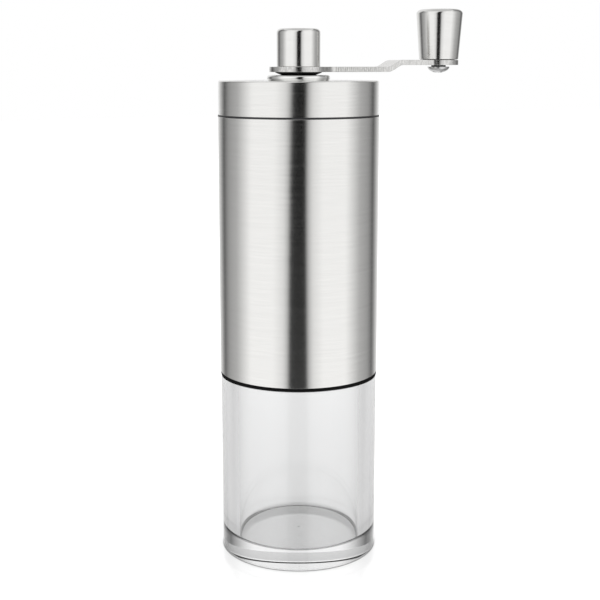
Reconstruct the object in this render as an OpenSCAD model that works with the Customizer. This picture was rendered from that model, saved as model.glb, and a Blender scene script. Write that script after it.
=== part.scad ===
// Slim hand crank coffee grinder: a brushed steel body with a bean hopper inside, a lift-off lid
// and crank, a conical ceramic burr set with a click adjuster, and a clear screw-on jar.
// Millimetres, +Z up. The origin is the centre of the jar's base, and the crank arm points along +X.

/* [Jar] */
// Outer radius of the clear jar
jar_r = 24.8; // [24.5:0.1:25]
// Height of the jar from its base to its shoulder
jar_h = 57.4; // [45:0.2:70]
// Thickness of the jar's wall
jar_wall = 5.3; // [5.1:0.1:5.6]
// Thickness of the jar's floor
jar_floor = 5.2; // [3:0.2:8]
// Radius of the rounded edge under the jar
jar_corner = 0.6; // [0.4:0.2:3]
// Radius of the fillet between the jar's floor and its bore
jar_fillet = 1.2; // [0.8:0.2:3]
// Height of the threaded neck above the shoulder
neck_h = 7.5; // [7:0.1:7.8]
// Axial pitch of the jar's thread
thread_pitch = 4; // [3.8:0.1:4.1]
// Thickness of the rubber ring on the jar's shoulder
seal_t = 1.1; // [0.8:0.1:1.4]

/* [Body] */
// Outer radius of the steel body
body_r = 25; // [25:0.1:26]
// Length of the steel body
body_h = 80.3; // [74:0.1:95]
// Thickness of the steel sheet
sheet_t = 0.8; // [0.6:0.1:0.8]
// Thickness of the hopper's flange, which shows as a dark line under the lid
flange_t = 0.5; // [0.4:0.1:1]

/* [Lid] */
// Outer radius of the lid
lid_r = 24.75; // [24.6:0.05:25]
// Height of the lid
lid_h = 10.3; // [9:0.1:14]
// Radius of the polished boss in the middle of the lid
boss_r = 9.75; // [9:0.05:11]
// Height of the boss above the lid
boss_h = 1.7; // [1.4:0.1:2.5]
// Height of the black bush that shows between the boss and the arm
bush_t = 0.9; // [0.6:0.1:1.2]

/* [Crank] */
// Distance from the drive axis to the knob's axis
crank_len = 50.7; // [48:0.1:60]
// Thickness of the arm
arm_t = 1.6; // [1.4:0.1:2]
// Width of the arm's straight strip
arm_w = 8.6; // [7:0.1:9]
// Radius of the arm's eye around the drive axis
hub_eye_r = 9; // [8.6:0.1:9.4]
// Radius of the arm's eye under the knob
knob_eye_r = 6.4; // [6:0.1:6.6]
// How much higher the arm lies at the knob than at the hub
arm_rise = 2.15; // [1.8:0.05:3]
// Distance from the drive axis to the start of the bend
bend_x = 29.8; // [28:0.1:32]
// Length of the bend along the arm
bend_len = 4.6; // [4:0.1:6]
// Radius of the cap over the hub
cap_r = 6.7; // [6.4:0.05:7.2]
// Height of the cap over the hub
cap_h = 11.45; // [11:0.05:14]

/* [Knob] */
// Radius of the knob at its foot
knob_foot_r = 6.35; // [6:0.05:7]
// Radius that the knob's cone reaches at its top
knob_top_r = 7.55; // [7:0.05:9]
// Height of the knob
knob_h = 15.9; // [14:0.1:24]

/* [Burrs and shaft] */
// Radius of the drive shaft
shaft_r = 3; // [2.9:0.05:3.1]
// Width across the flats of the shaft's hexagonal top
hex_af = 5.9; // [5.7:0.05:6]
// Outer radius of the outer burr
burr_r = 16.5; // [16:0.1:16.5]
// Radius of the inner burr at its foot
cone_r = 12; // [11.8:0.1:12]
// Number of fine teeth on each burr
fine_teeth = 24; // [18:1:30]
// Number of coarse flutes on each burr
coarse_teeth = 6; // [4:1:8]
// Radius of the adjuster wheel
wheel_r = 11.5; // [10.5:0.5:12]

/* [Hidden] */
$fn = 96;
steel = [0.78, 0.77, 0.75];
polished = [0.86, 0.85, 0.83];
black = [0.08, 0.08, 0.09];
ceramic = [0.93, 0.92, 0.88];
brass = [0.80, 0.66, 0.34];
clear = [0.90, 0.91, 0.90, 0.45];

// Clearances: between parts that turn or slide in each other, and between the threads
run = 0.05;
gap = 0.3;

// Heights of the outer parts, from the base up
z_seal = jar_h;
z_body = z_seal + seal_t;
z_flange = z_body + body_h;
z_lid = z_flange + flange_t;
z_lid_top = z_lid + lid_h;
z_boss = z_lid_top + boss_h;
z_arm = z_boss + bush_t;
z_arm_top = z_arm + arm_t;
z_eye = z_arm + arm_rise;
z_eye_top = z_eye + arm_t;
knob_gap = 0.15;
z_knob = z_eye_top + knob_gap;
z_neck = z_seal + neck_h;

// Heights of the parts inside the body
z_web = z_body + 10.3;
burr_h = 14;
z_cup = z_web + burr_h;
z_ledge = z_web + 19.6;
retainer_t = 1.8;
z_carrier = z_web - retainer_t;
cone_h = 16;
z_cone = z_web + cone_h;
z_hub = z_ledge + 4;
hub_h = 6;
washer_t = 0.6;
z_washer = z_hub - washer_t;
z_clip = z_hub + hub_h + 1.1;
clip_t = 0.8;
wheel_h = 6.4;
wheel_gap = 0.2;
z_wheel_top = z_carrier - wheel_gap;
z_wheel = z_wheel_top - wheel_h;

// Radii inside the body
liner_r = body_r - sheet_t - run;
liner_bore = liner_r - 1.35;
skirt_bore = 22.6;
cup_r = burr_r + 3.1;
jar_bore = jar_r - jar_wall;
neck_r = jar_bore + 1.9;
crest_r = neck_r + 0.9;
ridge_r = neck_r + gap;

// The jar's thread: mean height at angle 0, and widths at its root and crest
thread_z = z_seal + 1.9;
root_w = 1.6;
crest_w = 0.8;
root_depth = 0.4;

// The hopper's plug in the lid
plug_r = liner_bore - 0.5;
plug_h = 4.6;
plug_hole_r = 4.2;
seal_z = z_lid - plug_h / 2;
groove_d = 0.6;
groove_w = 1.2;
boss_stem_r = 7.2;

// Drive fit and bush
bush_r = 4.95;
hex_clear = 0.08;
socket_r = 4.6;
socket_depth = 0.4;
shaft_top = z_arm_top + 8.5;
hex_h = 22;
flat_af = 5.2;
shaft_end_r = flat_af / 2 - 0.1;

// Lugs and screws of the burr housing, three of each
lug_w = 5;
lug_r = burr_r + 1.5;
retainer_screw_r = burr_r + 1.6;
bracket_screw_r = 20.4;
bracket_foot_t = 1.8;
bearing_r = 4.5;
screw_offset = 60;

// Knob screw and bush
pin_r = 1.5;
pin_bush_r = 2.9;
screw_head_r = 3.55;
screw_head_h = 1.95;
spacer_r = 2.35;
spacer_t = 0.5;
insert_r = 2.7;
insert_h = 9;

// Points of an arc about [x, z] with radii rx and rz, from angle a0 to a1
function arc(x, z, rx, rz, a0, a1, n = 10) =
    [for (i = [0:n]) let (a = a0 + (a1 - a0) * i / n) [x + rx * cos(a), z + rz * sin(a)]];

// Corner of a thread's section: from radius a to radius b, around height z
function thread_section(a, b, w_a, w_b, z) =
    [[a, z - w_a / 2], [b, z - w_b / 2], [b, z + w_b / 2], [a, z + w_a / 2]];

// Disc of radius r from height z0 to height z1
module disc(r, z0, z1) {
    translate([0, 0, z0]) cylinder(r = r, h = z1 - z0);
}

// Ring from height z0 to height z1
module ring(outer, inner, z0, z1) {
    difference() {
        disc(outer, z0, z1);
        disc(inner, z0 - 1, z1 + 1);
    }
}

// Half outline of a disc with a rounded lower edge, a rounded upper edge, or both
module half_disc(r, z0, z1, low = 0, high = 0) {
    translate([0, z0 + low]) square([r, z1 - z0 - low - high]);
    if (low > 0) {
        translate([0, z0]) square([r - low, low]);
        intersection() {
            translate([r - low, z0 + low]) circle(low);
            translate([0, z0]) square([r, low]);
        }
    }
    if (high > 0) {
        translate([0, z1 - high]) square([r - high, high]);
        intersection() {
            translate([r - high, z1 - high]) circle(high);
            translate([0, z1 - high]) square([r, high]);
        }
    }
}

// Bar with a hexagonal section, af across its flats
module hex_bar(af, z0, z1) {
    translate([0, 0, z0]) cylinder(r = af / sqrt(3), h = z1 - z0, $fn = 6);
}

// Round bar with two flats, for parts that slide on the shaft but turn with it
module flatted_bar(r, af, z0, z1) {
    translate([0, 0, z0]) linear_extrude(z1 - z0)
        intersection() {
            circle(r);
            square([3 * r, af], center = true);
        }
}

// Copies of the children around the axis, the first one at angle start
module around(count, start = 0) {
    for (i = [0:count - 1]) rotate(start + i * 360 / count) children();
}

// A section of [radius, height] points swept along a right-handed helix between two angles
module helix(section, pitch, from, to, steps_per_turn = 36) {
    k = len(section);
    n = round((to - from) / 360 * steps_per_turn);
    points = [
        for (i = [0:n], p = section)
            let (a = from + (to - from) * i / n)
            [p.x * cos(a), p.x * sin(a), p.y + pitch * a / 360]
    ];
    sides = [
        for (i = [0:n - 1], j = [0:k - 1])
            let (a = i * k + j, b = i * k + (j + 1) % k)
            each [[a, b, b + k], [a, b + k, a + k]]
    ];
    start_cap = [for (j = [k - 1:-1:0]) j];
    end_cap = [for (j = [0:k - 1]) n * k + j];
    polyhedron(points, concat([start_cap], sides, [end_cap]), convexity = 10);
}

// ---- Body ----

module body_shell() {
    color(steel) ring(body_r, body_r - sheet_t, z_body, z_flange);
}

// Black sleeve that lines the hopper, with the flange that covers the steel's upper edge
module hopper_liner() {
    color(black) {
        ring(liner_r, liner_bore, z_ledge, z_flange);
        ring(body_r - 0.1, liner_bore, z_flange, z_lid);
    }
}

// Moulded part that holds the burr: a cup, a funnel above it, and a threaded skirt for the jar
module burr_housing() {
    funnel_r = burr_r - 1.9;
    ledge_r = 18.6;
    pocket_top = z_cup + 1.5;
    color(black) {
        difference() {
            rotate_extrude() polygon([
                [skirt_bore, z_body],
                [liner_r, z_body],
                [liner_r, z_ledge],
                [ledge_r, z_ledge],
                [funnel_r, z_cup + 1.2],
                [funnel_r, z_cup + run],
                [burr_r + run, z_cup + run],
                [burr_r + run, z_web],
                [cup_r, z_web],
                [cup_r, pocket_top],
                [skirt_bore, pocket_top]
            ]);
            around(3) translate([burr_r - 1, -lug_w / 2 - run, z_web - 1])
                cube([lug_r - burr_r + 1 + run, lug_w + 2 * run, burr_h - 1 + run]);
            around(3, screw_offset) {
                translate([retainer_screw_r, 0, z_web - 1]) cylinder(r = 1, h = 7);
                translate([bracket_screw_r, 0, z_ledge - 5]) cylinder(r = 1.2, h = 6);
            }
        }
        around(6, screw_offset / 2) translate([cup_r - 0.3, -1, z_web])
            cube([skirt_bore - cup_r + 0.8, 2, pocket_top - z_web + 0.5]);
        helix(
            thread_section(ridge_r, skirt_bore + root_depth, crest_w, root_w, thread_z - thread_pitch / 2),
            thread_pitch, 205, 700
        );
    }
}

// Outline of the space inside the outer burr
module outer_burr_bore() {
    polygon([
        [0, z_web - 1],
        [cone_r + 0.65, z_web - 1],
        [cone_r - 0.95, z_web + 5.5],
        [burr_r - 2.2, z_cup],
        [burr_r - 2.2, z_cup + 1],
        [0, z_cup + 1]
    ]);
}

// Ceramic ring with fine teeth below and coarse flutes above, held by three lugs
module outer_burr() {
    color(ceramic) difference() {
        union() {
            disc(burr_r, z_web, z_cup);
            around(3) translate([burr_r - 1.5, -lug_w / 2, z_web + 1])
                cube([lug_r - burr_r + 1.5, lug_w, burr_h - 3]);
        }
        rotate_extrude() outer_burr_bore();
        around(fine_teeth) translate([cone_r - 0.1, 0, z_web - 1]) rotate([0, -13, 12])
            rotate(45) cube([1.1, 1.1, 16], center = true);
        around(coarse_teeth, 10) translate([cone_r + 0.4, 0, z_cup + 0.5]) rotate([0, 22, 16])
            rotate(45) cube([2.6, 2.6, 15], center = true);
    }
}

module burr_retainer() {
    color(steel) difference() {
        ring(cup_r, cone_r + 1.6, z_carrier, z_web);
        around(3, screw_offset) translate([retainer_screw_r, 0, z_carrier - 1]) cylinder(r = 1.05, h = 4);
    }
}

// Pan-head screw pointing up, its head's seat at the origin
module screw_up(r, length, head_r, head_h) {
    cylinder(r = r, h = length);
    difference() {
        rotate_extrude() intersection() {
            translate([0, -head_h]) square([head_r, head_h]);
            scale([head_r, head_h]) circle(1);
        }
        for (a = [0, 90]) rotate(a) translate([0, 0, -head_h])
            cube([head_r * 1.1, head_r * 0.28, head_h], center = true);
    }
}

module retainer_screws() {
    color(steel) around(3, screw_offset) translate([retainer_screw_r, 0, z_carrier])
        screw_up(1, 6, 1.7, 1);
}

// Three-legged bracket across the hopper that carries the shaft's upper bearing
module bearing_bracket() {
    band_r = liner_bore - 0.2;
    band_in = band_r - 1.7;
    foot_in = 18;
    leg_h = 3;
    z_foot = z_ledge + bracket_foot_t;
    color(polished) difference() {
        union() {
            rotate_extrude() polygon([
                [foot_in, z_ledge],
                [band_r, z_ledge],
                [band_r, z_hub + leg_h],
                [band_in, z_hub + leg_h],
                [band_in, z_foot],
                [foot_in, z_foot]
            ]);
            around(3) translate([4.8, -2.2, z_hub]) cube([band_in - 4.3, 4.4, leg_h - 0.4]);
            disc(6.4, z_hub, z_hub + hub_h);
        }
        disc(bearing_r, z_hub - 1, z_hub + hub_h + 1);
        around(3, screw_offset) translate([bracket_screw_r, 0, 0]) {
            disc(1.25, z_ledge - 1, z_foot + 1);
            disc(2.5, z_foot, z_hub + hub_h);
        }
    }
}

module bracket_screws() {
    color(steel) around(3, screw_offset) translate([bracket_screw_r, 0, z_ledge + bracket_foot_t])
        mirror([0, 0, 1]) screw_up(1.2, 6, 1.75, 1.1);
}

module bearing_bush() {
    color(brass) {
        ring(bearing_r, shaft_r + run, z_hub, z_hub + hub_h);
        ring(5.6, shaft_r + run, z_hub + hub_h, z_hub + hub_h + 0.9);
    }
}

// ---- Lid ----

module lid_shell() {
    edge = 0.6;
    color(steel) rotate_extrude() difference() {
        half_disc(lid_r, z_lid, z_lid_top, high = edge);
        half_disc(lid_r - sheet_t, z_lid - 1, z_lid_top - sheet_t);
        translate([0, z_lid]) square([boss_stem_r, lid_h + 1]);
    }
}

// Polished boss with a bull-nosed rim, and a stem that is swaged through the lid
module lid_boss() {
    nose = boss_h / 2;
    color(polished) rotate_extrude() difference() {
        union() {
            translate([0, z_lid_top]) square([boss_r - nose, boss_h]);
            translate([boss_r - nose, z_lid_top + nose]) circle(nose);
            polygon([
                [boss_r - nose, z_lid_top],
                [boss_r + 1.3, z_lid_top],
                [boss_r + 0.2, z_lid_top + 0.2],
                [boss_r - nose, z_lid_top + 0.6]
            ]);
            translate([0, z_lid_top - 2.8]) square([boss_stem_r, 3]);
        }
        translate([0, z_lid_top - 4]) square([bush_r + run, boss_h + 5]);
    }
}

// Black plug under the lid that closes the hopper and centres the lid on it
module lid_plug() {
    wall = 1.5;
    floor_z = z_lid - plug_h;
    top = z_lid_top - sheet_t;
    color(black) rotate_extrude() difference() {
        union() {
            translate([0, z_lid + run]) square([lid_r - sheet_t - run, top - z_lid - run]);
            half_disc(plug_r, floor_z, z_lid + 1, low = 0.8);
        }
        translate([0, floor_z + wall]) square([plug_r - wall, top - floor_z]);
        translate([0, floor_z - 1]) square([plug_hole_r, wall + 2]);
        translate([plug_r - groove_d, seal_z - groove_w / 2]) square([groove_d + 1, groove_w]);
    }
}

// Soft ring in the plug's groove, which grips the hopper's bore
module lid_seal() {
    lip = liner_bore - run - plug_r;
    color(black) rotate_extrude() difference() {
        translate([plug_r - groove_d, seal_z - groove_w / 2]) square([groove_d + lip, groove_w]);
        for (s = [-1, 1]) translate([plug_r + lip + 0.15, seal_z + s * groove_w * 0.6]) circle(lip);
    }
}

// Black bush that comes away with the crank and seats it in the boss
module crank_bush() {
    foot_r = 5.3;
    rim_r = 7.15;
    sleeve = 4.2;
    color(black) rotate_extrude() difference() {
        union() {
            translate([0, z_boss - sleeve]) square([bush_r, sleeve + 0.1]);
            polygon([
                [0, z_boss],
                [foot_r, z_boss],
                [rim_r - 0.15, z_arm - 0.25],
                [rim_r, z_arm],
                [0, z_arm]
            ]);
        }
        translate([0, z_boss - sleeve - 1]) square([hex_af / sqrt(3) + 0.3, sleeve + bush_t + 2]);
    }
}

// ---- Crank ----

// Side view of the arm: flat at the hub, up the bend, and flat again under the knob
module arm_profile() {
    x_end = crank_len + knob_eye_r + 1;
    lean = arm_t * tan(atan2(arm_rise, bend_len) / 2);
    polygon([
        [-hub_eye_r - 1, z_arm],
        [bend_x + lean, z_arm],
        [bend_x + bend_len + lean, z_eye],
        [x_end, z_eye],
        [x_end, z_eye_top],
        [bend_x + bend_len, z_eye_top],
        [bend_x, z_arm_top],
        [-hub_eye_r - 1, z_arm_top]
    ]);
}

// Plan of one side of the strip, with the fine serrations along its edge
function strip_edge(x0, x1, pitch, depth) = [
    for (i = [0:floor((x1 - x0) / pitch) - 1])
        each [[x0 + i * pitch, arm_w / 2], [x0 + (i + 0.5) * pitch, arm_w / 2 - depth]]
];

// Concave neck from an eye of radius eye_r at x to the strip, towards +X if dir is 1. It starts a little
// past its tangent point, so that it crosses the eye's edge.
function neck(x, eye_r, fillet, dir) =
    let (
        side = arm_w / 2 + fillet,
        reach = sqrt(pow(eye_r + fillet, 2) - pow(side, 2)),
        start = 182 + atan2(side, reach)
    )
    [for (p = arc(reach, side, fillet, fillet, start, 270)) [x + dir * p.x, p.y]];

// Plan of the strip, from the middle of one eye to the middle of the other
module strip_plan() {
    hub_fillet = 5;
    knob_fillet = 2.5;
    edge_start = 10.8;
    edge_end = bend_x - 1;
    edge_pitch = 0.75;
    edge_depth = 0.12;
    hub_neck = neck(0, hub_eye_r, hub_fillet, 1);
    knob_neck = neck(crank_len, knob_eye_r, knob_fillet, -1);
    side = concat(
        hub_neck,
        strip_edge(edge_start, edge_end, edge_pitch, edge_depth),
        [[edge_end, arm_w / 2]],
        [for (i = [len(knob_neck) - 1:-1:0]) knob_neck[i]]
    );
    polygon(concat(
        [[0, 0]], side, [[crank_len, 0]],
        [for (i = [len(side) - 1:-1:0]) [side[i].x, -side[i].y]]
    ));
}

module crank_arm() {
    color(steel) difference() {
        union() {
            disc(hub_eye_r, z_arm, z_arm_top);
            translate([crank_len, 0, 0]) disc(knob_eye_r, z_eye, z_eye_top);
            intersection() {
                translate([0, 0, z_arm - 1]) linear_extrude(arm_rise + arm_t + 2) strip_plan();
                translate([0, hub_eye_r, 0]) rotate([90, 0, 0]) linear_extrude(2 * hub_eye_r) arm_profile();
            }
        }
        disc(socket_r, z_arm - 1, z_arm_top + 1);
        translate([crank_len, 0, 0]) disc(pin_bush_r, z_eye - 1, z_eye_top + 1);
    }
}

module hub_cap() {
    color(polished) rotate_extrude() difference() {
        half_disc(cap_r, z_arm_top, z_arm_top + cap_h, high = 1.2);
        translate([0, z_arm_top - 1]) square([socket_r, shaft_top + 1.2 - z_arm_top + 1]);
    }
}

// Hardened socket, riveted through the arm, that drops over the shaft's hexagon
module drive_socket() {
    color(polished) difference() {
        disc(socket_r, z_arm + 0.3, shaft_top + 1.2);
        hex_bar(hex_af + 2 * hex_clear, z_arm - 1, shaft_top + socket_depth);
    }
}

// Nylon sleeve in the arm's eye; its thin flange keeps the knob off the arm
module knob_bush() {
    color(black) translate([crank_len, 0, 0]) {
        ring(pin_bush_r, pin_r + run, z_eye + 0.02, z_eye_top);
        ring(5.2, pin_r + run, z_eye_top, z_eye_top + 0.1);
    }
}

// ---- Knob ----

module knob() {
    edge_w = 1.8;
    edge_h = 1.4;
    side = (knob_top_r - knob_foot_r) / knob_h;
    shoulder_r = knob_top_r - side * edge_h;
    color(polished) translate([crank_len, 0, z_knob]) rotate_extrude() difference() {
        polygon(concat(
            [[0, 0], [knob_foot_r - 0.3, 0], [knob_foot_r, 0.3]],
            arc(shoulder_r - edge_w, knob_h - edge_h, edge_w, edge_h, 0, 90),
            [[0, knob_h]]
        ));
        translate([0, -1]) square([insert_r, insert_h + 1.5]);
    }
}

module knob_insert() {
    color(brass) translate([crank_len, 0, 0]) ring(insert_r, pin_r, z_knob + 0.5, z_knob + 0.5 + insert_h);
}

module knob_screw() {
    z_seat = z_eye - run - spacer_t;
    color(steel) translate([crank_len, 0, z_seat])
        screw_up(pin_r, z_knob + insert_h - z_seat, screw_head_r, screw_head_h);
}

module screw_spacer() {
    color(black) translate([crank_len, 0, 0]) ring(spacer_r, pin_r, z_eye - run - spacer_t, z_eye - run);
}

// ---- Shaft ----

// Steel shaft: threaded end, two flats for the inner burr, a round bearing, and a hexagonal top
module drive_shaft() {
    z_end = z_wheel + 1;
    z_flats = z_carrier + 0.2;
    z_round = z_cone + 2;
    groove = 0.5;
    color(polished) {
        disc(shaft_end_r, z_end, z_flats);
        intersection() {
            disc(shaft_r, z_flats, z_round);
            flatted_bar(shaft_r, flat_af, z_flats, z_round);
        }
        disc(shaft_r, z_round, z_clip);
        disc(shaft_r - groove, z_clip, z_clip + clip_t);
        disc(shaft_r, z_clip + clip_t, shaft_top - hex_h);
        intersection() {
            hex_bar(hex_af, shaft_top - hex_h, shaft_top);
            translate([0, 0, shaft_top - hex_h]) cylinder(r1 = hex_h + 3.1, r2 = 3.1, h = hex_h);
        }
    }
}

// Spring clip in the shaft's groove, above the bearing
module shaft_clip() {
    color(steel) difference() {
        ring(5, shaft_r - 0.5, z_clip, z_clip + clip_t);
        translate([0, -1.7, z_clip - 1]) cube([6, 3.4, clip_t + 2]);
    }
}

module thrust_washer() {
    color(steel) ring(5.2, shaft_r + run, z_washer - run, z_hub - run - 0.05);
}

// Spring that pushes the inner burr down onto the adjuster
module burr_spring() {
    wire_r = 0.45;
    coil_r = 4;
    turns = 4;
    z0 = z_cone + wire_r + 0.1;
    z1 = z_washer - wire_r - 0.15;
    color(steel) helix(arc(coil_r, z0, wire_r, wire_r, 0, 315, 7), (z1 - z0) / turns, 0, 360 * turns, 18);
}

// ---- Inner burr ----

// Ceramic cone with fine teeth at its foot and coarse flutes above them
module inner_burr() {
    color(ceramic) difference() {
        rotate_extrude() polygon([
            [0, z_web],
            [cone_r, z_web],
            [cone_r - 1.4, z_web + 5.5],
            [cone_r - 3.7, z_web + 10],
            [5.2, z_cone],
            [0, z_cone]
        ]);
        flatted_bar(shaft_r + run, flat_af + 2 * run, z_web - 1, z_cone + 1);
        around(fine_teeth) translate([cone_r, 0, z_web]) rotate([0, -14, 12])
            rotate(45) cube([1.1, 1.1, 13], center = true);
        around(coarse_teeth, 10) translate([8.4, 0, z_web + 12.4]) rotate([0, -27, 22])
            rotate(45) cube([2.6, 2.6, 13], center = true);
    }
}

// Disc under the inner burr that drives it and carries the two click balls
module burr_carrier() {
    ball_x = 7.5;
    color(black) difference() {
        disc(9.5, z_carrier, z_web);
        flatted_bar(shaft_r + run, flat_af + 2 * run, z_carrier - 1, z_web + 1);
        around(2) translate([ball_x, 0, z_carrier - 1]) cylinder(r = 1.05, h = 2.6);
    }
}

module click_balls() {
    color(steel) around(2) translate([7.5, 0, z_carrier + 0.55]) sphere(1);
}

// ---- Adjuster ----

module adjuster_wheel() {
    track_r = 7.5;
    lobes = 8;
    clicks = 16;
    color(black) difference() {
        rotate_extrude() half_disc(wheel_r, z_wheel, z_wheel_top, low = 1.2, high = 0.8);
        around(lobes) translate([wheel_r + 2.1, 0, z_wheel - 1]) cylinder(r = 3.2, h = wheel_h + 2);
        rotate_extrude() translate([track_r, z_carrier + 0.55]) circle(1.3);
        around(clicks) translate([track_r, 0, z_wheel_top - 1.1]) cylinder(r = 0.6, h = 2);
        hex_bar(8, z_wheel + 1.6, z_wheel_top + 1);
        disc(3.4, z_wheel - 1, z_wheel_top + 1);
    }
}

module adjuster_nut() {
    color(brass) difference() {
        hex_bar(8, z_wheel + 1.6, z_wheel_top);
        disc(shaft_end_r + run, z_wheel, z_wheel_top + 1);
    }
}

// ---- Jar ----

module jar_seal() {
    color(black) rotate_extrude() difference() {
        half_disc(jar_r + 0.1, z_seal, z_body, low = 0.2, high = 0.2);
        square([neck_r + 0.5, z_body + 1]);
    }
}

// Clear jar with a thick floor, and a neck with one turn of thread
module jar() {
    color(clear) {
        rotate_extrude() difference() {
            union() {
                half_disc(jar_r, 0, jar_h, low = jar_corner, high = 0.3);
                half_disc(neck_r, jar_h - 1, z_neck, high = 0.4);
            }
            half_disc(jar_bore, jar_floor, z_neck + 1, low = jar_fillet);
        }
        helix(
            thread_section(neck_r - root_depth, crest_r, root_w, crest_w, thread_z),
            thread_pitch, 0, 370
        );
    }
}

body_shell();
hopper_liner();
burr_housing();
outer_burr();
burr_retainer();
retainer_screws();
bearing_bracket();
bracket_screws();
bearing_bush();
lid_shell();
lid_boss();
lid_plug();
lid_seal();
crank_bush();
crank_arm();
hub_cap();
drive_socket();
knob_bush();
knob();
knob_insert();
knob_screw();
screw_spacer();
drive_shaft();
shaft_clip();
thrust_washer();
burr_spring();
inner_burr();
burr_carrier();
click_balls();
adjuster_wheel();
adjuster_nut();
jar_seal();
jar();
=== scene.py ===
"""Looks of a slim hand crank coffee grinder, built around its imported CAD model. Metres, +Z up."""

import math

import bmesh
import bpy
from mathutils import Matrix, Vector


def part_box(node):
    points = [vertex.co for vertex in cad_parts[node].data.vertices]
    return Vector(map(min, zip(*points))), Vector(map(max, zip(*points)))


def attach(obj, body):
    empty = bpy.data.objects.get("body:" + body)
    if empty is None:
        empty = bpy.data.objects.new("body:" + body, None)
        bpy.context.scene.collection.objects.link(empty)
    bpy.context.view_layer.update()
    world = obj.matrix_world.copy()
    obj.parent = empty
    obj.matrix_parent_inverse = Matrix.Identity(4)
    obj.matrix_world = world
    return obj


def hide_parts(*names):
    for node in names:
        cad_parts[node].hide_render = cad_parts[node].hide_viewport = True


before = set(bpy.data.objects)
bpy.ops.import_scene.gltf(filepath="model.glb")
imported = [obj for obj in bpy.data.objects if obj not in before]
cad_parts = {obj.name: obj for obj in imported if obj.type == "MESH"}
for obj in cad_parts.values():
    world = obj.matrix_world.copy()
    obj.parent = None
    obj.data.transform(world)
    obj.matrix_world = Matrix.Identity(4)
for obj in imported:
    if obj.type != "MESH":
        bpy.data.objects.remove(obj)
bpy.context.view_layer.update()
MM = 0.001
AXIS = (0.0, 0.0)


# ---- Camera ----

CAMERA_AZIMUTH = math.radians(26)
CAMERA_TILT = math.radians(10.545)
CAMERA_DISTANCE = 0.3618
CAMERA_HEIGHT = 0.1538
CAMERA_PAN = math.radians(0.069)
CAMERA_LENS = 69.54
CAMERA_SHIFT = -0.0292


def make_camera():
    """The camera stands in front of the grinder, a little to the left of the arm's plane."""
    data = bpy.data.cameras.new("camera")
    data.sensor_width = 36
    data.lens = CAMERA_LENS
    data.shift_y = CAMERA_SHIFT
    data.clip_start = 0.01
    camera = add_object("camera", data)
    camera.location = (
        -CAMERA_DISTANCE * math.sin(CAMERA_AZIMUTH),
        -CAMERA_DISTANCE * math.cos(CAMERA_AZIMUTH),
        CAMERA_HEIGHT,
    )
    camera.rotation_euler = (math.pi / 2 - CAMERA_TILT, 0, -CAMERA_AZIMUTH - CAMERA_PAN)
    bpy.context.scene.camera = camera
    bpy.context.scene.view_settings.view_transform = "Standard"


# ---- Sizes ----


def radius_of(node, centre=AXIS):
    """Outer radius of a round CAD node about a vertical axis."""
    low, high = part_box(node)
    return max(high.x - centre[0], centre[0] - low.x, high.y - centre[1], centre[1] - low.y)


def heights_of(node):
    low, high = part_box(node)
    return low.z, high.z


KNOB_AXIS = tuple((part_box("knob")[0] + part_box("knob")[1]).xy / 2)
SHEET = 0.8 * MM
BOSS_STEM_R = 7.2 * MM


# ---- Nodes ----


def set_inputs(tree, node, inputs):
    """Sets a node's inputs. An input is a value, or another node's output to link."""
    for key, value in inputs.items():
        if isinstance(value, bpy.types.NodeSocket):
            tree.links.new(value, node.inputs[key])
        else:
            node.inputs[key].default_value = value


def add_node(tree, kind, inputs=(), **settings):
    """Adds a shader node with its settings and inputs."""
    made = tree.nodes.new("ShaderNode" + kind)
    for name, value in settings.items():
        setattr(made, name, value)
    set_inputs(tree, made, dict(inputs))
    return made


def calc(tree, operation, *values):
    """Output of a Math node."""
    return add_node(tree, "Math", dict(enumerate(values)), operation=operation).outputs[0]


def vector_calc(tree, operation, inputs):
    """Vector output of a Vector Math node."""
    return add_node(tree, "VectorMath", inputs, operation=operation).outputs[0]


def remap(tree, value, low, high, to_low, to_high):
    """Output of a Map Range node, clamped."""
    inputs = {0: value, 1: low, 2: high, 3: to_low, 4: to_high}
    return add_node(tree, "MapRange", inputs).outputs[0]


def blend_values(tree, factor, first, second):
    """Output of a Mix node on two values."""
    return add_node(tree, "Mix", {0: factor, 2: first, 3: second}).outputs[0]


def noise(tree, vector, scale, detail=2.0, roughness=0.5):
    """Output of a Noise Texture node."""
    inputs = {"Vector": vector, "Scale": scale, "Detail": detail, "Roughness": roughness}
    return add_node(tree, "TexNoise", inputs).outputs["Fac"]


def blend_colours(tree, factor, first, second):
    """Output of a Mix node on two colours."""
    mix = add_node(tree, "Mix", {0: factor, 6: (*first, 1), 7: (*second, 1)}, data_type="RGBA")
    return mix.outputs[2]


def bumped(tree, pattern, strength, depth):
    """Surface normal with the pattern pressed into it."""
    inputs = {"Strength": strength, "Distance": depth, "Height": pattern}
    return add_node(tree, "Bump", inputs).outputs[0]


def object_place(tree):
    """Place in the object's own coordinates."""
    return add_node(tree, "TexCoord").outputs["Object"]


def new_material(name):
    """A material and its tree, with a Principled shader linked to the output."""
    material = bpy.data.materials.new(name)
    material.use_nodes = True
    return material, material.node_tree, material.node_tree.nodes["Principled BSDF"]


def shade(colour, amount):
    """A colour made lighter or darker, up to full white."""
    return tuple(min(1, c * amount) for c in colour)


# ---- Materials ----

STEEL = (0.78, 0.775, 0.76)
POLISHED = (0.86, 0.86, 0.85)
MACHINED = (0.62, 0.62, 0.62)
TOOL_MARK = 0.02 * MM


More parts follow.
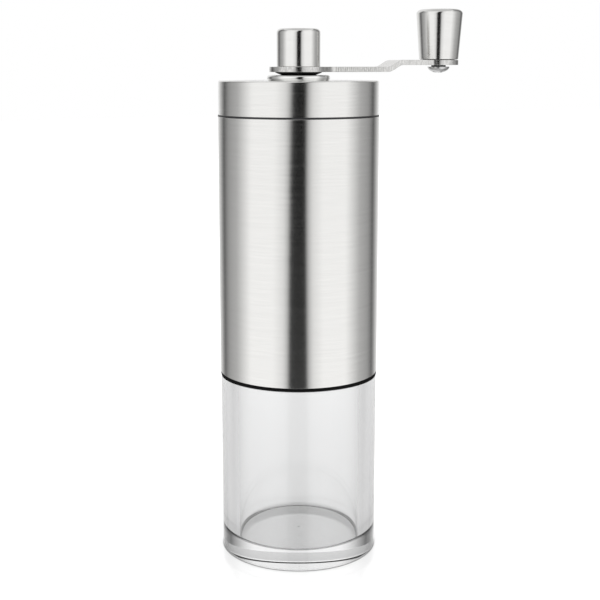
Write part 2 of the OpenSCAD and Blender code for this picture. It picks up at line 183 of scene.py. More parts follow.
def turned_grain(tree, stroke, line):
    """Grain vector for brushing round the object's Z axis, in strokes that long and lines that thick."""
    x, y, z = add_node(tree, "SeparateXYZ", {0: object_place(tree)}).outputs
    squares = calc(tree, "ADD", calc(tree, "MULTIPLY", x, x), calc(tree, "MULTIPLY", y, y))
    radius = calc(tree, "SQRT", squares)
    inputs = {
        0: calc(tree, "MULTIPLY", x, 1 / stroke),
        1: calc(tree, "MULTIPLY", y, 1 / stroke),
        2: calc(tree, "MULTIPLY", calc(tree, "ADD", z, radius), 1 / line),
    }
    return add_node(tree, "CombineXYZ", inputs).outputs[0]


def stretched(tree, scale):
    """Place in the object's own coordinates, scaled along X, Y and Z."""
    return add_node(tree, "Mapping", {"Vector": object_place(tree), "Scale": scale}).outputs[0]


def straight_grain(tree, stroke, line):
    """Grain vector for brushing along X."""
    return stretched(tree, (1 / stroke, 1 / line, 1 / line))


def swayed_normal(tree, pattern, amount):
    """Surface normal that sways round the Z axis with the grain, so reflections have ragged edges."""
    normal = add_node(tree, "NewGeometry").outputs["Normal"]
    around = vector_calc(tree, "CROSS_PRODUCT", {0: normal, 1: (0, 0, 1)})
    sway = calc(tree, "MULTIPLY", calc(tree, "SUBTRACT", pattern, 0.5), amount)
    shift = vector_calc(tree, "SCALE", {0: around, "Scale": sway})
    total = vector_calc(tree, "ADD", {0: normal, 1: shift})
    return vector_calc(tree, "NORMALIZE", {0: total})


def turned_steel(name, colour, roughness, stroke, line, sway, contrast, anisotropy):
    """Steel brushed round the axis: fine lines in colour, roughness and normal."""
    material, tree, shader = new_material(name)
    grain = turned_grain(tree, stroke, line)
    fine = noise(tree, grain, 1.0, 3.0, 0.65)
    lines = blend_values(tree, 0.3, fine, noise(tree, grain, 0.3))
    tone = remap(tree, lines, 0.3, 0.7, 0, 1)
    tangent = add_node(tree, "Tangent", direction_type="RADIAL", axis="Z").outputs[0]
    dark, bright = shade(colour, 1 - contrast), shade(colour, 1 + contrast)
    set_inputs(tree, shader, {
        "Base Color": blend_colours(tree, tone, dark, bright),
        "Metallic": 1.0,
        "Roughness": remap(tree, lines, 0.3, 0.7, roughness * 0.8, roughness * 1.25),
        "Anisotropic": anisotropy,
        "Anisotropic Rotation": 0.25,
        "Tangent": tangent,
        "Normal": swayed_normal(tree, fine, sway),
    })
    return material


def strip_steel(name):
    """Rolled strip steel of the arm, with a faint grain along it."""
    material, tree, shader = new_material(name)
    grain = straight_grain(tree, 6 * MM, 0.15 * MM)
    lines = noise(tree, grain, 1.0, 3.0, 0.6)
    tone = remap(tree, lines, 0.3, 0.7, 0, 1)
    set_inputs(tree, shader, {
        "Base Color": blend_colours(tree, tone, shade(STEEL, 0.95), shade(STEEL, 1.04)),
        "Metallic": 1.0,
        "Roughness": remap(tree, lines, 0.3, 0.7, 0.2, 0.32),
        "Normal": bumped(tree, lines, 0.15, TOOL_MARK),
    })
    return material


def sheared_steel(name):
    """The arm's punched edge: duller, with close marks across its thickness."""
    material, tree, shader = new_material(name)
    mark_width, mark_depth, mark_height = 0.3 * MM, 12.5 * MM, 1.2 * MM
    grain = stretched(tree, (1 / mark_width, 1 / mark_depth, 1 / mark_height))
    marks = noise(tree, grain, 1.0, 3.0, 0.6)
    tone = remap(tree, marks, 0.35, 0.65, 0, 1)
    set_inputs(tree, shader, {
        "Base Color": blend_colours(tree, tone, shade(STEEL, 0.66), shade(STEEL, 0.92)),
        "Metallic": 1.0,
        "Roughness": remap(tree, marks, 0.3, 0.7, 0.12, 0.2),
        "Normal": bumped(tree, marks, 0.2, TOOL_MARK),
    })
    return material


def plain_metal(name, colour, roughness):
    """Machined metal with light tool marks."""
    material, tree, shader = new_material(name)
    marks = noise(tree, turned_grain(tree, 2 * MM, 0.12 * MM), 1.0)
    tone = remap(tree, marks, 0.3, 0.7, 0, 1)
    set_inputs(tree, shader, {
        "Base Color": blend_colours(tree, tone, shade(colour, 0.92), shade(colour, 1.06)),
        "Metallic": 1.0,
        "Roughness": remap(tree, marks, 0.3, 0.7, roughness * 0.8, roughness * 1.3),
        "Normal": bumped(tree, marks, 0.03, TOOL_MARK),
    })
    return material


def moulded(name, colour, roughness, grain_size, bump_strength, shine=0.5):
    """Moulded plastic, rubber or ceramic with a fine surface grain."""
    material, tree, shader = new_material(name)
    position = object_place(tree)
    grain = noise(tree, position, 1 / grain_size, 3.0, 0.6)
    cloud = noise(tree, position, 120.0)
    set_inputs(tree, shader, {
        "Base Color": blend_colours(tree, cloud, shade(colour, 0.9), shade(colour, 1.1)),
        "Roughness": remap(tree, grain, 0.3, 0.7, roughness * 0.85, roughness * 1.15),
        "Specular IOR Level": shine,
        "Normal": bumped(tree, grain, bump_strength, 0.04 * MM),
    })
    return material


def clear_acrylic():
    """Clear acrylic with a trace of moulding haze."""
    material, tree, shader = new_material("clear_acrylic")
    haze = noise(tree, object_place(tree), 60.0)
    set_inputs(tree, shader, {
        "Base Color": blend_colours(tree, haze, (0.955, 0.957, 0.958), (0.97, 0.971, 0.972)),
        "Roughness": remap(tree, haze, 0.4, 0.7, 0.0, 0.015),
        "IOR": 1.58,
        "Transmission Weight": 1.0,
    })
    return material


BRUSHED = turned_steel("brushed_steel", STEEL, 0.19, 9 * MM, 0.16 * MM, 0.02, 0.05, 0.85)
SATIN = turned_steel("satin_steel", STEEL, 0.155, 3 * MM, 0.12 * MM, 0.02, 0.05, 0.7)
MIRROR = turned_steel("polished_steel", POLISHED, 0.07, 2 * MM, 0.1 * MM, 0.003, 0.01, 0.3)
STRIP = strip_steel("strip_steel")
SHEARED = sheared_steel("sheared_edge")
PLAIN = plain_metal("plain_steel", MACHINED, 0.24)
BRASS = plain_metal("bearing_brass", (0.78, 0.6, 0.28), 0.3)
BLACK = moulded("black_plastic", (0.018, 0.018, 0.02), 0.42, 0.25 * MM, 0.25)
RUBBER = moulded("black_rubber", (0.004, 0.004, 0.004), 0.75, 0.3 * MM, 0.2, shine=0.1)
CERAMIC = moulded("ceramic", (0.84, 0.82, 0.76), 0.5, 0.2 * MM, 0.35)
CLEAR = clear_acrylic()


# ---- Mesh building ----


def arc_corner(before, corner, after, fillet, steps):
    """Points of the arc that rounds a corner."""
    first = (before - corner).normalized()
    second = (after - corner).normalized()
    half = first.angle(second) / 2
    centre = corner + (first + second).normalized() * (fillet / math.sin(half))
    start = corner + first * (fillet / math.tan(half)) - centre
    end = corner + second * (fillet / math.tan(half)) - centre
    sweep = start.angle(end)
    points = []
    for i in range(steps + 1):
        t = i / steps
        weight_start = math.sin((1 - t) * sweep) / math.sin(sweep)
        weight_end = math.sin(t * sweep) / math.sin(sweep)
        points.append(centre + start * weight_start + end * weight_end)
    return points


def rounded(corners, steps=6):
    """Outline of (radius, height, fillet) corners with each corner rounded by its fillet."""
    outline = []
    for i, (r, z, fillet) in enumerate(corners):
        here = Vector((r, z))
        if fillet == 0:
            outline.append(here)
            continue
        before = Vector(corners[i - 1][:2])
        after = Vector(corners[(i + 1) % len(corners)][:2])
        outline += arc_corner(before, here, after, fillet, steps)
    return outline


def add_object(name, data):
    made = bpy.data.objects.new(name, data)
    bpy.context.scene.collection.objects.link(made)
    return made


def mesh_from(made, name):
    """Turns a bmesh into a mesh and frees it."""
    mesh = bpy.data.meshes.new(name)
    made.to_mesh(mesh)
    made.free()
    return mesh


def finish_piece(name, mesh, material, body, replaced, centre=AXIS, sharp=35):
    """Makes the object, shades it smooth between sharp edges, gives it its body, and hides the CAD nodes
    it replaces.
    """
    piece = add_object(name, mesh)
    piece.location = (*centre, 0)
    mesh.materials.append(material)
    mesh.shade_smooth()
    mesh.set_sharp_from_angle(angle=math.radians(sharp))
    weighted = piece.modifiers.new("even_shading", "WEIGHTED_NORMAL")
    weighted.keep_sharp = True
    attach(piece, body)
    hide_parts(*replaced)
    return piece


def lathe_mesh(name, outline, segments=192, reshape=None):
    """Turns an outline of (radius, height) points about Z.

    The outline closes on itself, or starts and ends on the axis. reshape changes a point's radius by its
    height and angle.
    """
    on_axis = outline[0].x == 0 and outline[-1].x == 0
    made = bmesh.new()
    rings = []
    for point in outline:
        if point.x == 0:
            rings.append([made.verts.new((0, 0, point.y))])
            continue
        ring = []
        for i in range(segments):
            angle = math.tau * i / segments
            r = point.x if reshape is None else reshape(point.x, point.y, angle)
            ring.append(made.verts.new((r * math.cos(angle), r * math.sin(angle), point.y)))
        rings.append(ring)
    following = rings[1:] if on_axis else rings[1:] + rings[:1]
    for low, high in zip(rings, following):
        for j in range(segments):
            k = (j + 1) % segments
            corners = [low[j % len(low)], low[k % len(low)], high[k % len(high)], high[j % len(high)]]
            face = list(dict.fromkeys(corners))
            if len(face) > 2:
                made.faces.new(face)
    bmesh.ops.recalc_face_normals(made, faces=made.faces[:])
    return mesh_from(made, name)


def lathe(name, outline, material, body, replaced, centre=AXIS, reshape=None):
    """A finished piece turned from an outline."""
    mesh = lathe_mesh(name, outline, reshape=reshape)
    finish_piece(name, mesh, material, body, replaced, centre)


# ---- Body ----


def make_body():
    """The brushed steel tube, with both cut edges softened."""
    low, high = heights_of("body_shell")
    outer = radius_of("body_shell")
    inner = outer - SHEET
    edge = 0.12 * MM
    inner_edge = 0.1 * MM
    outline = rounded([
        (inner, low, inner_edge), (outer, low, edge), (outer, high, edge), (inner, high, inner_edge),
    ])
    lathe("steel_body", outline, BRUSHED, "housing", ["body_shell"])


def make_hopper_liner():
    """The black sleeve, whose rounded flange shows as a line under the lid."""
    low, high = heights_of("hopper_liner")
    flange_r = radius_of("hopper_liner")
    step = heights_of("body_shell")[1]
    overlap = 0.05 * MM
    wall = 1.35 * MM
    sleeve_r = flange_r - SHEET + overlap
    bore = sleeve_r - wall
    outline = rounded([
        (bore, low, 0.2 * MM), (sleeve_r, low, 0.2 * MM), (sleeve_r, step, 0),
        (flange_r, step, 0.1 * MM), (flange_r, high, 0.2 * MM), (bore, high, 0.4 * MM),
    ])
    lathe("hopper_sleeve", outline, BLACK, "housing", ["hopper_liner"])


# ---- Lid ----


def make_lid():
    """The brushed steel lid, open below, with a hole for the boss."""
    low, high = heights_of("lid_shell")
    outer = radius_of("lid_shell")
    inner = outer - SHEET
    outline = rounded([
        (inner, low, 0.1 * MM), (outer, low, 0.1 * MM), (outer, high, 0.4 * MM),
        (BOSS_STEM_R, high, 0), (BOSS_STEM_R, high - SHEET, 0), (inner, high - SHEET, 0.3 * MM),
    ])
    lathe("steel_lid", outline, BRUSHED, "lid", ["lid_shell"])


def make_boss():
    """The polished boss: a bull-nosed disc on a thin flared foot."""
    bottom, top = heights_of("lid_boss")
    lid_top = heights_of("lid_shell")[1]
    foot_r = radius_of("lid_boss")
    nose_r = foot_r - 1.3 * MM
    nose = (top - lid_top) / 2
    bore = 5 * MM
    edge = 0.15 * MM
    bull_nose = [
        Vector((nose_r - nose + nose * math.cos(a), lid_top + nose + nose * math.sin(a)))
        for a in [math.radians(-50 + 14 * i) for i in range(11)]
    ]
    outline = [
        Vector((bore, bottom)), Vector((BOSS_STEM_R, bottom)), Vector((BOSS_STEM_R, lid_top)),
        Vector((foot_r, lid_top)), Vector((foot_r - 0.6 * MM, lid_top + 0.06 * MM)),
        *bull_nose, Vector((bore + edge, top)), Vector((bore, top - edge)),
    ]
    lathe("boss", outline, MIRROR, "lid", ["lid_boss"])


# ---- Bush and crank ----


def make_crank_bush():
    """The black bush: a straight sleeve in the boss, and a tapered collar above it."""
    low, high = heights_of("crank_bush")
    rim_r = radius_of("crank_bush")
    seat = heights_of("lid_boss")[1]
    foot_r = 5.3 * MM
    sleeve_r = 4.95 * MM
    bore = 3.7 * MM
    outline = rounded([
        (bore, low, 0.1 * MM), (sleeve_r, low, 0.4 * MM), (sleeve_r, seat, 0), (foot_r, seat, 0),
        (rim_r, high - 0.2 * MM, 0.1 * MM), (rim_r, high, 0.05 * MM), (bore, high, 0),
    ])
    lathe("bush", outline, BLACK, "bush", ["crank_bush"])


def make_hub_cap():
    """The cap, hollow for the drive socket, with a rounded shoulder."""
    low, high = heights_of("hub_cap")
    outer = radius_of("hub_cap")
    bore = 4.6 * MM
    clearance = 0.05 * MM
    ceiling = heights_of("drive_socket")[1] + clearance
    outline = rounded([
        (0, high, 0), (outer, high, 1.25 * MM), (outer, low, 0.15 * MM),
        (bore, low, 0), (bore, ceiling, 0), (0, ceiling, 0),
    ], steps=8)
    lathe("cap", outline, SATIN, "crank", ["hub_cap"])


# The arm's plan: radii of its eyes and holes, and of the concave arcs between the eyes and the strip
HUB_EYE = 9 * MM
HUB_HOLE = 4.6 * MM
HUB_FILLET = 5 * MM
KNOB_EYE = 6.4 * MM
KNOB_HOLE = 2.9 * MM
KNOB_FILLET = 2.5 * MM
STRIP_HALF = 4.3 * MM
SERRATION_START = 10.8 * MM
SERRATION_PITCH = 0.75 * MM
SERRATION_DEPTH = 0.2 * MM
SERRATION_NOTCH = 0.45 * MM

# Its side view: an S-bend that eases in and out a little beyond its own length
ARM_T = 1.6 * MM
BEND_START = 29.8 * MM
BEND_LENGTH = 4.6 * MM
BEND_EASE = 0.5 * MM
BEND_SOFTNESS = 0.3
BEND_MARGIN = 0.6 * MM
BEND_CUTS = 16


def circle_points(x, radius, start, end, steps):
    """Points of an arc about (x, 0), between two angles in degrees."""
    angles = [math.radians(start + (end - start) * i / steps) for i in range(steps + 1)]
    return [Vector((x + radius * math.cos(a), radius * math.sin(a))) for a in angles]


def whole_circle(x, radius, steps):
    return circle_points(x, radius, 0, 360, steps)[:-1]


def neck_points(x, eye, fillet, direction, steps=10):
    """The concave arc between an eye and the strip, and where it meets the eye, as an angle in degrees.

    It runs from the eye outwards on the +Y side, toward +X if the direction is 1.
    """
    side = STRIP_HALF + fillet
    reach = math.sqrt((eye + fillet) ** 2 - side ** 2)
    start = math.pi + math.atan2(side, reach)
    points = []
    for i in range(steps + 1):
        angle = start + (math.radians(270) - start) * i / steps
        along = reach + fillet * math.cos(angle)
        points.append(Vector((x + direction * along, side + fillet * math.sin(angle))))
    return points, math.degrees(math.atan2(side, reach))


def arm_outline():
    """Plan of the arm: two eyes joined by a strip with fine serrations on its edges, anticlockwise."""
    knob_x = KNOB_AXIS[0]
    hub_neck, hub_angle = neck_points(0, HUB_EYE, HUB_FILLET, 1)
    knob_neck, knob_angle = neck_points(knob_x, KNOB_EYE, KNOB_FILLET, -1)
    serrations = []
    teeth = int((BEND_START - MM - SERRATION_START) / SERRATION_PITCH)
    for i in range(teeth):
        x = SERRATION_START + i * SERRATION_PITCH
        serrations += [
            Vector((x, STRIP_HALF)),
            Vector((x + SERRATION_NOTCH / 2, STRIP_HALF - SERRATION_DEPTH)),
            Vector((x + SERRATION_NOTCH, STRIP_HALF)),
        ]
    serrations.append(Vector((SERRATION_START + teeth * SERRATION_PITCH, STRIP_HALF)))
    upper = hub_neck + serrations + knob_neck[::-1]
    lower = [Vector((p.x, -p.y)) for p in upper]
    knob_arc = circle_points(knob_x, KNOB_EYE, knob_angle - 180, 180 - knob_angle, 48)
    hub_arc = circle_points(0, HUB_EYE, hub_angle, 360 - hub_angle, 72)
    return lower + knob_arc[1:-1] + upper[::-1] + hub_arc[1:-1]


def ramp_at(x, rise):
    """Height and slope of the arm's middle at x: an S-bend with soft ends."""
    length = BEND_LENGTH + 2 * BEND_EASE
    t = min(1, max(0, (x - BEND_START + BEND_EASE) / length))
    soft = BEND_SOFTNESS
    peak = 1 / (1 - soft)
    if t < soft:
        height, slope = peak * t * t / (2 * soft), peak * t / soft
    elif t <= 1 - soft:
        height, slope = peak * (t - soft / 2), peak
    else:
        height, slope = 1 - peak * (1 - t) ** 2 / (2 * soft), peak * (1 - t) / soft
    return rise * height, rise * slope / length


def add_loop(made, points):
    """Adds a closed loop of edges at height 0."""
    verts = [made.verts.new((p.x, p.y, 0)) for p in points]
    for a, b in zip(verts, verts[1:] + verts[:1]):
        made.edges.new((a, b))


def flat_arm():
    """The arm's plan as faces, cut across the bend so that it can be bent."""
    made = bmesh.new()
    add_loop(made, arm_outline())
    add_loop(made, whole_circle(0, HUB_HOLE, 48))
    add_loop(made, whole_circle(KNOB_AXIS[0], KNOB_HOLE, 36))
    bmesh.ops.triangle_fill(made, edges=made.edges[:], use_beauty=True)
    for i in range(BEND_CUTS + 1):
        x = BEND_START - BEND_MARGIN + (BEND_LENGTH + 2 * BEND_MARGIN) * i / BEND_CUTS
        geometry = made.verts[:] + made.edges[:] + made.faces[:]
        bmesh.ops.bisect_plane(
            made, geom=geometry, dist=1e-7, plane_co=(x, 0, 0), plane_no=(1, 0, 0)
        )
    return made


def make_arm():
    """The arm: its plan is thickened and bent along X, and its edges are eased."""
    low, high = heights_of("crank_arm")
    rise = high - low - ARM_T
    made = flat_arm()
    top = bmesh.ops.extrude_face_region(made, geom=made.faces[:])
    raised = {v for v in top["geom"] if isinstance(v, bmesh.types.BMVert)}
    for face in made.faces:
        on_top = sum(v in raised for v in face.verts)
        face.material_index = 1 if 0 < on_top < len(face.verts) else 0
    for vert in made.verts:
        height, slope = ramp_at(vert.co.x, rise)
        length = math.sqrt(1 + slope * slope)
        offset = ARM_T / 2 if vert in raised else -ARM_T / 2
        vert.co.x -= offset * slope / length
        vert.co.z = low + ARM_T / 2 + height + offset / length
    bmesh.ops.recalc_face_normals(made, faces=made.faces[:])
    mesh = mesh_from(made, "arm")
    piece = finish_piece("arm", mesh, STRIP, "crank", ["crank_arm"], sharp=25)
    mesh.materials.append(SHEARED)
    bevel = piece.modifiers.new("eased_edges", "BEVEL")
    bevel.width = 0.12 * MM
    bevel.segments = 2
    bevel.limit_method = "ANGLE"
    bevel.angle_limit = math.radians(60)
    bevel.harden_normals = True
    piece.modifiers.move(1, 0)


# ---- Knob ----


def make_knob():
    """The flared knob, hollow for its brass insert, with an oval shoulder."""
    low, high = heights_of("knob")
    top_r = radius_of("knob", KNOB_AXIS)
    foot_r = 6.35 * MM
    foot_edge = 0.3 * MM
    shoulder_w = 1.8 * MM
    shoulder_h = 1.4 * MM
    shoulder = [
        Vector((top_r + shoulder_w * (math.cos(a) - 1), high + shoulder_h * (math.sin(a) - 1)))
        for a in [math.radians(9 * i) for i in range(11)]
    ]
    bore = 2.7 * MM
    bore_depth = 9.5 * MM
    ceiling = low + bore_depth
    outline = [
        Vector((0, ceiling)), Vector((bore, ceiling)), Vector((bore, low)),
        Vector((foot_r - foot_edge, low)), Vector((foot_r - 0.08 * MM, low + 0.1 * MM)),
        Vector((foot_r, low + foot_edge)), *shoulder, Vector((0, high)),
    ]
    lathe("grip", outline, SATIN, "knob", ["knob"], centre=KNOB_AXIS)


# ---- Jar ----

JAR_WALL = 5.3 * MM
JAR_FLOOR = 5.2 * MM
JAR_NECK_WALL = 1.9 * MM
GATE_RADIUS = 0.75 * MM
GATE_DEPTH = 0.12 * MM

# The thread on the neck: its start above the shoulder, its length and run-outs in degrees, and the half
# widths of its profile
THREAD_START = 1.9 * MM
THREAD_PITCH = 4 * MM
THREAD_TURN = 370
THREAD_FADE = 12
THREAD_HEIGHT = 0.9 * MM
THREAD_ROOT = 0.8 * MM
THREAD_CREST = 0.4 * MM


def thread_lift(z, angle, first):
    """How far the thread stands out at a height and angle. Its middle is at height first at angle 0."""
    lift = 0
    for turn in (0, 1):
        degrees = math.degrees(angle) + 360 * turn
        if degrees > THREAD_TURN:
            continue
        middle = first + THREAD_PITCH * degrees / 360
        flank = (THREAD_ROOT - abs(z - middle)) / (THREAD_ROOT - THREAD_CREST)
        fade = min(1, degrees / THREAD_FADE, (THREAD_TURN - degrees) / THREAD_FADE)
        lift = max(lift, THREAD_HEIGHT * min(1, max(0, flank)) * fade)
    return lift


def jar_inside(bore, neck, shoulder, top):
    """Outline from the middle of the jar's floor up its bore and over its rim."""
    edge = 0.4 * MM
    return rounded([
        (0, JAR_FLOOR, 0), (bore, JAR_FLOOR, 1.2 * MM), (bore, top, edge), (neck, top, edge),
        (neck, shoulder, 0),
    ], 10)[1:-1]


def jar_outside(outer, neck, shoulder):
    """Outline from the foot of the neck over the shoulder and down to the middle of the base."""
    return rounded([
        (neck, shoulder, 0), (outer, shoulder, 0.3 * MM), (outer, 0, 0.6 * MM), (0, 0, 0),
    ], 12)


def make_jar():
    """The clear jar: a thick floor with a gate mark, and a neck with one turn of thread."""
    top = heights_of("jar")[1]
    shoulder = heights_of("jar_seal")[0]
    outer = radius_of("jar")
    bore = outer - JAR_WALL
    neck = bore + JAR_NECK_WALL
    gate = [
        Vector((0, JAR_FLOOR - GATE_DEPTH)), Vector((0.4 * MM, JAR_FLOOR - 0.7 * GATE_DEPTH)),
        Vector((GATE_RADIUS, JAR_FLOOR)),
    ]
    steps = 30
    margin = 0.1 * MM
    wall_top = top - 0.5 * MM
    wall_low = shoulder + margin
    neck_wall = [
        Vector((neck, wall_top + (wall_low - wall_top) * i / steps)) for i in range(1, steps)
    ]
    inside = jar_inside(bore, neck, shoulder, top)
    outline = gate + inside + neck_wall + jar_outside(outer, neck, shoulder)

    def reshape(r, z, angle):
        on_neck = abs(r - neck) < 1e-6 and z > shoulder + margin / 2
        return r + thread_lift(z, angle, shoulder + THREAD_START) if on_neck else r

    lathe("clear_jar", outline, CLEAR, "jar", ["jar"], reshape=reshape)


def make_jar_seal():
    """The flat rubber ring on the jar's shoulder."""
    low, high = heights_of("jar_seal")
    outer = radius_of("jar_seal")
    width = 3 * MM
    inner = outer - width
    edge = 0.25 * MM
    corners = [(inner, low), (outer, low), (outer, high), (inner, high)]
    outline = rounded([(r, z, edge) for r, z in corners])
    lathe("ring_seal", outline, RUBBER, "seal", ["jar_seal"])


# ---- Knob screw ----


def recess_cutter(z):
    """Two crossed bars on the knob's axis, centred at a height."""
    length, width, height = 4.2 * MM, 0.9 * MM, 1.3 * MM
    made = bmesh.new()
    for size in ((length, width, height), (width, length, height)):
        bar = Matrix.Translation((0, 0, z)) @ Matrix.Diagonal((*size, 1))
        bmesh.ops.create_cube(made, size=1, matrix=bar)
    cross = add_object("cross", mesh_from(made, "cross"))
    cross.location = (*KNOB_AXIS, 0)
    return cross


def make_screw():
    """The screw under the knob: a domed head with a cross recess, and its shank."""
    low, high = heights_of("knob_screw")
    head_r = radius_of("knob_screw", KNOB_AXIS)
    head_h = 1.95 * MM
    head_edge = 0.1 * MM
    shank_r = 1.5 * MM
    seat = low + head_h
    dome = [
        Vector((head_r * math.cos(a), seat - head_h * math.sin(a)))
        for a in [math.radians(90 - 7.5 * i) for i in range(12)]
    ]
    outline = [
        Vector((0, low)), *dome[1:], Vector((head_r, seat - head_edge)),
        Vector((head_r - head_edge, seat)), Vector((shank_r, seat)),
        Vector((shank_r, high)), Vector((0, high)),
    ]
    mesh = lathe_mesh("screw", outline, segments=96)
    piece = finish_piece(
        "screw", mesh, PLAIN, "knob", ["knob_screw"], centre=KNOB_AXIS
    )
    cross = recess_cutter(low)
    cut = piece.modifiers.new("recess", "BOOLEAN")
    cut.object = cross
    cut.use_self = True
    piece.modifiers.move(1, 0)
    bpy.context.view_layer.update()
    settle(piece)
    bpy.data.objects.remove(cross)


def settle(piece):
    """Applies a piece's modifiers, so it needs no helper objects."""
    graph = bpy.context.evaluated_depsgraph_get()
    mesh = bpy.data.meshes.new_from_object(piece.evaluated_get(graph))
    piece.modifiers.clear()
    piece.data = mesh


# ---- CAD parts that stay ----

FINISHES = {
    "burr_housing": BLACK, "outer_burr": CERAMIC, "burr_retainer": PLAIN, "retainer_screws": PLAIN,
    "bearing_bracket": PLAIN, "bracket_screws": PLAIN, "bearing_bush": BRASS, "lid_plug": BLACK,
    "lid_seal": RUBBER, "drive_socket": PLAIN, "knob_bush": BLACK, "knob_insert": BRASS,
    "screw_spacer": BLACK, "drive_shaft": PLAIN, "shaft_clip": PLAIN, "thrust_washer": PLAIN,
    "burr_spring": PLAIN, "inner_burr": CERAMIC, "burr_carrier": BLACK, "click_balls": PLAIN,
    "adjuster_wheel": BLACK, "adjuster_nut": BRASS,
}


def finish_cad_parts():
    """Gives each CAD node that stays visible its material."""
    for name, material in FINISHES.items():
        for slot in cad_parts[name].material_slots:
            slot.material = material


# ---- Studio ----

TENT_RADIUS = 0.24
TENT_TOP = 0.40
TENT_BOTTOM = -0.30
TENT_SEGMENTS = 96

# The tent's gap, where the camera looks in. Its middle is so many degrees from the camera. Above one
# height it leans and below another it widens, both in degrees per metre. Below that second height the
# whole tent also glows by the fill for each metre.
GAP_MIDDLE = -1.0
GAP_LEAN = 45.0
GAP_LEAN_START = 0.1
GAP_WIDENING = 22.0
GAP_WIDENING_TOP = 0.14
GAP_FILL = 0.25

# Brightness of the light tent by the angle from its gap, the same on both sides
TENT_LIGHT = [
    (0, 0), (8, 0),          # the gap
    (12, 0.55), (18, 0.87),  # the soft edge of the gap
    (32, 1.08), (66, 1.08),  # white front panels
    (92, 0.5), (112, 0.35),  # dim sides
    (126, 0.1),              # black flags behind the sides
    (140, 0.5), (155, 0.9),
    (180, 0.9),              # white back
]
TENT_PEAK = 1.2

# The floor, a hair below the jar's base, and its glow where the camera sees it and where it shows through
# the jar
FLOOR_HALF = 3.0
FLOOR_DROP = 0.02 * MM
FLOOR_SEEN = 0.95
FLOOR_THROUGH_JAR = 0.5

# The shadow on the floor: a line where the rim touches it, and a dimming close round the jar
CONTACT_WIDTH = 0.5 * MM
CONTACT_LIGHT = 0.05
SHADOW_REACH = 24 * MM
SHADOW_LIGHT = 0.74


def emission_material(name, strength_of):
    """A material that only glows, as bright as strength_of(tree) says."""
    material = bpy.data.materials.new(name)
    material.use_nodes = True
    tree = material.node_tree
    tree.nodes.clear()
    glow = add_node(tree, "Emission", {"Strength": strength_of(tree)})
    output = add_node(tree, "OutputMaterial")
    tree.links.new(glow.outputs[0], output.inputs["Surface"])
    return material


def light_ramp(tree, degrees, lights):
    """Brightness at an angle from 0 to 180, from a list of (angle, brightness)."""
    ramp = add_node(tree, "ValToRGB", {0: calc(tree, "DIVIDE", degrees, 180)})
    stops = ramp.color_ramp.elements
    stops[0].position, stops[1].position = 0, 1
    for angle, _ in lights[1:-1]:
        stops.new(angle / 180)
    for stop, (_, value) in zip(stops, lights):
        stop.color = (*[value / TENT_PEAK] * 3, 1)
    return calc(tree, "MULTIPLY", ramp.outputs["Color"], TENT_PEAK)


def toward_camera(tree, position):
    """A place turned about Z until +X is the camera's fixed direction, as separate X, Y and Z."""
    inputs = {"Vector": position, "Angle": math.pi / 2 + CAMERA_AZIMUTH}
    turn = add_node(tree, "VectorRotate", inputs, rotation_type="Z_AXIS")
    return add_node(tree, "SeparateXYZ", {0: turn.outputs[0]}).outputs


def tent_strength(tree):
    """Brightness of the tent by the angle from the middle of its gap."""
    ahead, side, z = toward_camera(tree, object_place(tree))
    angle = calc(tree, "MULTIPLY", calc(tree, "ARCTAN2", side, ahead), 180 / math.pi)
    above = calc(tree, "MAXIMUM", calc(tree, "SUBTRACT", z, GAP_LEAN_START), 0)
    middle = calc(tree, "ADD", calc(tree, "MULTIPLY", above, GAP_LEAN), GAP_MIDDLE)
    from_middle = calc(tree, "SUBTRACT", angle, middle)
    below = calc(tree, "MAXIMUM", calc(tree, "SUBTRACT", GAP_WIDENING_TOP, z), 0)
    widening = calc(tree, "MULTIPLY", below, GAP_WIDENING)
    off = calc(tree, "SUBTRACT", calc(tree, "ABSOLUTE", from_middle), widening)
    light = light_ramp(tree, off, TENT_LIGHT)
    return calc(tree, "ADD", light, calc(tree, "MULTIPLY", below, GAP_FILL))


def make_tent():
    """A round light tent that lights and mirrors in the grinder, and that the camera sees through."""
    made = bmesh.new()
    angles = [math.tau * i / TENT_SEGMENTS for i in range(TENT_SEGMENTS)]
    rings = [
        [made.verts.new((TENT_RADIUS * math.cos(a), TENT_RADIUS * math.sin(a), z)) for a in angles]
        for z in (TENT_BOTTOM, TENT_TOP)
    ]
    for i in range(TENT_SEGMENTS):
        j = (i + 1) % TENT_SEGMENTS
        made.faces.new([rings[0][i], rings[1][i], rings[1][j], rings[0][j]])
    mesh = mesh_from(made, "tent")
    mesh.materials.append(emission_material("tent_light", tent_strength))
    tent = add_object("tent", mesh)
    tent.visible_camera = False
    tent.visible_shadow = False


def floor_shadow(tree, position):
    """A dark line where the jar's rim meets the floor, and a soft dimming round it."""
    radius = add_node(tree, "VectorMath", {0: position}, operation="LENGTH").outputs["Value"]
    rim = radius_of("jar")
    from_rim = calc(tree, "ABSOLUTE", calc(tree, "SUBTRACT", radius, rim - CONTACT_WIDTH / 4))
    contact = remap(tree, from_rim, 0, CONTACT_WIDTH, CONTACT_LIGHT, 1)
    near = remap(tree, radius, rim, rim + SHADOW_REACH, SHADOW_LIGHT, 1)
    return calc(tree, "MULTIPLY", contact, near)


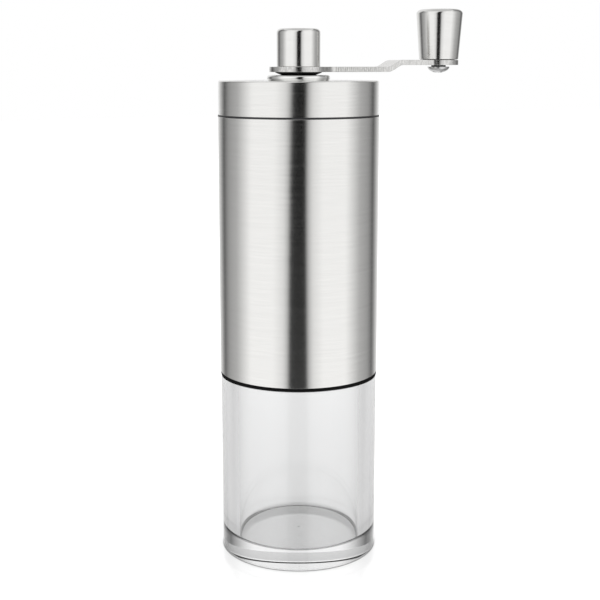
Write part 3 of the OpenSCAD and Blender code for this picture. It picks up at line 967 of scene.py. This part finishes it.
def make_floor():
    """Pale glossy floor, bright enough to melt into the backdrop."""
    material, tree, shader = new_material("pale_floor")
    position = object_place(tree)
    cloud = noise(tree, position, 8.0)
    seen = add_node(tree, "LightPath").outputs["Is Camera Ray"]
    glow = remap(tree, seen, 0, 1, FLOOR_THROUGH_JAR, FLOOR_SEEN)
    glow = calc(tree, "MULTIPLY", glow, floor_shadow(tree, position))
    set_inputs(tree, shader, {
        "Base Color": blend_colours(tree, cloud, (0.24, 0.24, 0.24), (0.25, 0.25, 0.25)),
        "Roughness": 0.05,
        "IOR": 1.8,
        "Emission Color": (1, 1, 1, 1),
        "Emission Strength": glow,
    })
    made = bmesh.new()
    corners = [(-1, -1), (1, -1), (1, 1), (-1, 1)]
    made.faces.new([made.verts.new((x * FLOOR_HALF, y * FLOOR_HALF, -FLOOR_DROP)) for x, y in corners])
    mesh = mesh_from(made, "floor")
    mesh.materials.append(material)
    floor = add_object("floor", mesh)
    floor.visible_glossy = False


# Brightness of the surroundings where the camera sees them, and as the grinder mirrors them from the side
# and from overhead. The last two blend between two steepnesses, which are sines of the elevation.
BACKDROP_SEEN = 1.0
BACKDROP_MIRRORED = 1.3
ZENITH_MIRRORED = 0.62
BLEND_START = 0.35
BLEND_END = 0.95


def make_backdrop():
    """White surroundings, softer overhead and below so that steel keeps its shading from above."""
    world = bpy.data.worlds.new("studio")
    world.use_nodes = True
    tree = world.node_tree
    seen = add_node(tree, "LightPath").outputs["Is Camera Ray"]
    direction = add_node(tree, "TexCoord").outputs["Generated"]
    steep = calc(tree, "ABSOLUTE", add_node(tree, "SeparateXYZ", {0: direction}).outputs[2])
    mirrored = remap(tree, steep, BLEND_START, BLEND_END, BACKDROP_MIRRORED, ZENITH_MIRRORED)
    strength = blend_values(tree, seen, mirrored, BACKDROP_SEEN)
    set_inputs(tree, tree.nodes["Background"], {"Color": (1, 1, 1, 1), "Strength": strength})
    bpy.context.scene.world = world


make_camera()
make_body()
make_hopper_liner()
make_lid()
make_boss()
make_crank_bush()
make_hub_cap()
make_arm()
make_knob()
make_screw()
make_jar()
make_jar_seal()
finish_cad_parts()
make_tent()
make_floor()
make_backdrop()
